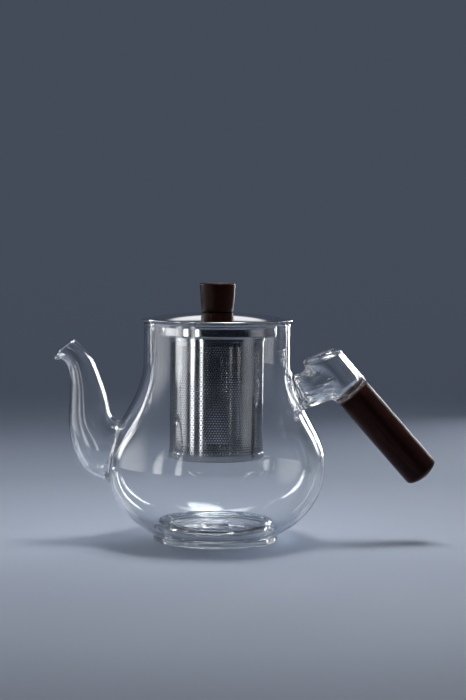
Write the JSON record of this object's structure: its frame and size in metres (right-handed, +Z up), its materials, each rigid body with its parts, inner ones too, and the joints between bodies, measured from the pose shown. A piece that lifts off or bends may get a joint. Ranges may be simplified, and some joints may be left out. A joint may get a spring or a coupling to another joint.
{
  "type": "glass teapot",
  "caption": "Round-bellied glass teapot with a gooseneck spout, an angled wooden side handle, a lift-out steel infuser and a domed steel lid with a wooden knob.",
  "frame": {"origin": "centre of the foot ring's underside, on the pot's axis", "axes": "+Z up along the pot's axis, +X towards the wooden grip with the spout at -X, +Y to the back when the spout is on the left"},
  "size_m": [0.2421, 0.138, 0.163],
  "materials": {
    "glass": "clear, fire polished",
    "cork": "fine cork",
    "dark_wood": "oiled, very dark brown",
    "infuser_steel": "bright, finely perforated",
    "lid_steel": "mirror polished",
    "screw_steel": "plain"
  },
  "bodies": {
    "pot": {"glass_body": "glass", "spout": "glass", "handle_stub": "glass", "handle_socket": "glass", "grip_sleeve": "cork", "grip": "dark_wood"},
    "infuser": {"infuser_collar": "infuser_steel", "infuser_screen": "infuser_steel", "infuser_cup": "infuser_steel"},
    "lid": {"lid_cover": "lid_steel", "lid_skirt": "lid_steel", "knob": "dark_wood", "knob_screw": "screw_steel", "knob_washer": "screw_steel"}
  },
  "joints": [
    {"name": "infuser_lift", "type": "slide", "parent": "pot", "child": "infuser", "axis": [0, 0, 1], "range_m": [0, 0.11]},
    {"name": "lid_lift", "type": "slide", "parent": "infuser", "child": "lid", "axis": [0, 0, 1], "range_m": [0, 0.05]}
  ]
}
